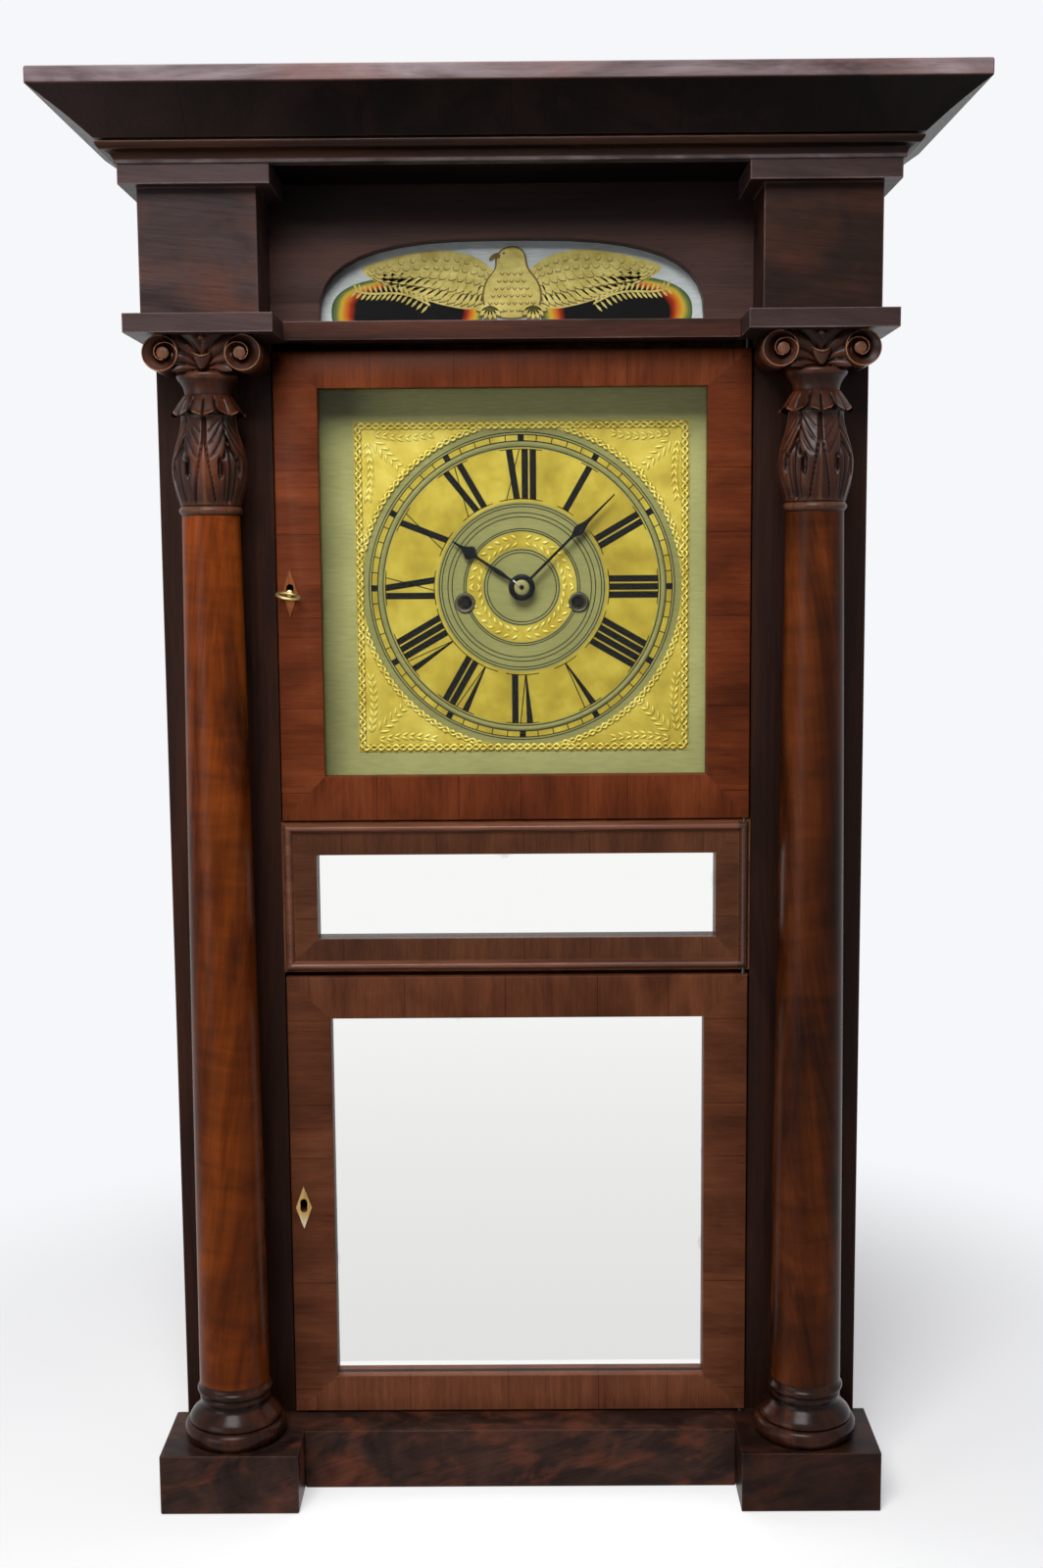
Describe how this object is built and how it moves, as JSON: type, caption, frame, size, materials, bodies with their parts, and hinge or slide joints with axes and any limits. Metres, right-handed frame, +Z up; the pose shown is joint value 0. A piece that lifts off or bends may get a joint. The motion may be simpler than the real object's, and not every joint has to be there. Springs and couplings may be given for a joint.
{
  "type": "shelf clock",
  "caption": "Tall shelf clock with hinged glazed and mirrored doors, carved columns, flared cornice, painted dial, and a weight-driven striking movement with pendulum.",
  "frame": {"origin": "on the floor under the middle of the clock's bounding box", "axes": "+Z up, the front with its doors faces -Y, +X to the viewer's right"},
  "size_m": [0.6044, 0.2242, 0.978],
  "materials": {
    "dark_wood": "satin",
    "red_wood": "satin",
    "column_wood": "gloss",
    "raw_wood": "matte",
    "clear_glass": "gloss",
    "silvered_glass": "gloss",
    "bone": "satin",
    "dial_paint": "satin",
    "brass": "satin",
    "steel": "satin",
    "blackened_steel": "satin",
    "cast_iron": "rough"
  },
  "bodies": {
    "case": {"case_backboard": "raw_wood", "case_side_left": "dark_wood", "case_side_right": "dark_wood", "case_floor": "raw_wood", "case_roof": "dark_wood", "stile_left": "dark_wood", "stile_right": "dark_wood", "apron": "dark_wood", "plinth_left": "dark_wood", "plinth_right": "dark_wood", "frieze_panel": "dark_wood", "frieze_ledge": "dark_wood", "frieze_glass": "clear_glass", "impost_left": "dark_wood", "impost_right": "dark_wood", "cornice_front": "dark_wood", "cornice_left": "dark_wood", "cornice_right": "dark_wood", "cornice_top": "dark_wood", "column_base_left": "column_wood", "column_base_right": "column_wood", "column_shaft_left": "column_wood", "column_shaft_right": "column_wood", "column_capital_left": "column_wood", "column_capital_right": "column_wood", "column_cap_left": "column_wood", "column_cap_right": "column_wood", "middle_panel": "red_wood", "middle_mirror": "silvered_glass", "dial_board": "dial_paint", "movement_front_plate": "brass", "movement_back_plate": "brass", "bell": "brass"},
    "upper_door": {"upper_door_frame": "red_wood", "upper_door_glass": "clear_glass", "upper_escutcheon": "red_wood", "upper_lock": "steel"},
    "door_key": {"door_key": "brass"},
    "upper_bolt": {"upper_bolt": "brass"},
    "lower_door": {"lower_door_frame": "red_wood", "lower_door_mirror": "silvered_glass", "lower_escutcheon": "bone", "lower_lock": "steel"},
    "lower_bolt": {"lower_bolt": "brass"},
    "minute_hand": {"minute_hand": "blackened_steel"},
    "centre_wheel": {"centre_wheel": "brass"},
    "hour_hand": {"hour_hand": "blackened_steel"},
    "minute_wheel": {"minute_wheel": "brass"},
    "time_great_wheel": {"time_great_wheel": "brass"},
    "third_wheel": {"third_wheel": "brass"},
    "escape_wheel": {"escape_wheel": "brass"},
    "strike_great_wheel": {"strike_great_wheel": "brass"},
    "strike_pin_wheel": {"strike_pin_wheel": "brass"},
    "pendulum": {"pendulum": "brass"},
    "verge": {"verge": "steel"},
    "hammer": {"hammer": "steel"},
    "time_weight": {"time_weight": "cast_iron"},
    "time_drum": {"time_drum": "steel"},
    "strike_weight": {"strike_weight": "cast_iron"},
    "strike_drum": {"strike_drum": "steel"}
  },
  "joints": [
    {"name": "upper_door_swing", "type": "hinge", "parent": "case", "child": "upper_door", "pos_m": [0.163, 0.0001, 0.651], "axis": [0, 0, 1], "range_deg": [0, 90]},
    {"name": "key_turn", "type": "hinge", "parent": "upper_door", "child": "door_key", "pos_m": [-0.1572, 0, 0.6487], "axis": [0, -1, 0], "range_deg": [0, 180]},
    {"name": "upper_bolt_slide", "type": "slide", "parent": "upper_door", "child": "upper_bolt", "axis": [-1, 0, 0], "range_m": [0, 0.007]},
    {"name": "lower_door_swing", "type": "hinge", "parent": "case", "child": "lower_door", "pos_m": [0.163, 0.0001, 0.209], "axis": [0, 0, 1], "range_deg": [0, 90]},
    {"name": "lower_bolt_slide", "type": "slide", "parent": "lower_door", "child": "lower_bolt", "axis": [-1, 0, 0], "range_m": [0, 0.007]},
    {"name": "minute_hand_turn", "type": "hinge", "parent": "case", "child": "minute_hand", "pos_m": [0.0055, 0, 0.6515], "axis": [0, 1, 0], "continuous": true},
    {"name": "hour_hand_turn", "type": "hinge", "parent": "case", "child": "hour_hand", "pos_m": [0.0055, 0, 0.6515], "axis": [0, 1, 0], "continuous": true},
    {"name": "minute_wheel_turn", "type": "hinge", "parent": "case", "child": "minute_wheel", "pos_m": [0.0055, 0, 0.6335], "axis": [0, 1, 0], "continuous": true},
    {"name": "centre_wheel_turn", "type": "hinge", "parent": "case", "child": "centre_wheel", "pos_m": [0.0055, 0, 0.6515], "axis": [0, 1, 0], "continuous": true},
    {"name": "time_great_wheel_turn", "type": "hinge", "parent": "case", "child": "time_great_wheel", "pos_m": [-0.0355, 0, 0.6405], "axis": [0, 1, 0], "continuous": true},
    {"name": "third_wheel_turn", "type": "hinge", "parent": "case", "child": "third_wheel", "pos_m": [0.0055, 0, 0.6779], "axis": [0, 1, 0], "continuous": true},
    {"name": "escape_wheel_turn", "type": "hinge", "parent": "case", "child": "escape_wheel", "pos_m": [0.0055, 0, 0.7004], "axis": [0, 1, 0], "continuous": true},
    {"name": "strike_great_wheel_turn", "type": "hinge", "parent": "case", "child": "strike_great_wheel", "pos_m": [0.0465, 0, 0.6405], "axis": [0, 1, 0], "continuous": true},
    {"name": "strike_pin_wheel_turn", "type": "hinge", "parent": "case", "child": "strike_pin_wheel", "pos_m": [0.05582, 0, 0.67527], "axis": [0, 1, 0], "continuous": true},
    {"name": "pendulum_swing", "type": "hinge", "parent": "case", "child": "pendulum", "pos_m": [0.0055, 0, 0.7274], "axis": [0, 1, 0], "range_deg": [-3, 3]},
    {"name": "verge_rock", "type": "hinge", "parent": "case", "child": "verge", "pos_m": [0.0055, 0, 0.7274], "axis": [0, 1, 0], "range_deg": [-3, 3]},
    {"name": "hammer_lift", "type": "hinge", "parent": "case", "child": "hammer", "pos_m": [0.0715, 0, 0.7115], "axis": [0, 1, 0], "range_deg": [0, 15], "stiffness_Nm_per_rad": 0.08, "springref_deg": -5.73},
    {"name": "time_weight_rise", "type": "slide", "parent": "case", "child": "time_weight", "axis": [0, 0, 1], "range_m": [0, 0.578]},
    {"name": "time_drum_turn", "type": "hinge", "parent": "case", "child": "time_drum", "pos_m": [-0.0355, 0, 0.6405], "axis": [0, 1, 0], "range_deg": [0, 5760]},
    {"name": "strike_weight_rise", "type": "slide", "parent": "case", "child": "strike_weight", "axis": [0, 0, 1], "range_m": [0, 0.578]},
    {"name": "strike_drum_turn", "type": "hinge", "parent": "case", "child": "strike_drum", "pos_m": [0.0465, 0, 0.6405], "axis": [0, 1, 0], "range_deg": [0, 5760]}
  ],
  "couplings": [
    {"joint": "upper_bolt_slide", "follows": "key_turn", "m_per_rad": 0.002228},
    {"joint": "hour_hand_turn", "follows": "minute_hand_turn", "ratio": 0.083333},
    {"joint": "minute_wheel_turn", "follows": "minute_hand_turn", "ratio": -0.33333},
    {"joint": "centre_wheel_turn", "follows": "third_wheel_turn", "ratio": -0.1},
    {"joint": "time_great_wheel_turn", "follows": "third_wheel_turn", "ratio": 0.0083333},
    {"joint": "escape_wheel_turn", "follows": "third_wheel_turn", "ratio": -9},
    {"joint": "strike_pin_wheel_turn", "follows": "strike_great_wheel_turn", "ratio": -9},
    {"joint": "verge_rock", "follows": "pendulum_swing", "ratio": 1},
    {"joint": "time_drum_turn", "follows": "time_weight_rise", "rad_per_m": 173.91},
    {"joint": "strike_drum_turn", "follows": "strike_weight_rise", "rad_per_m": 173.91}
  ]
}
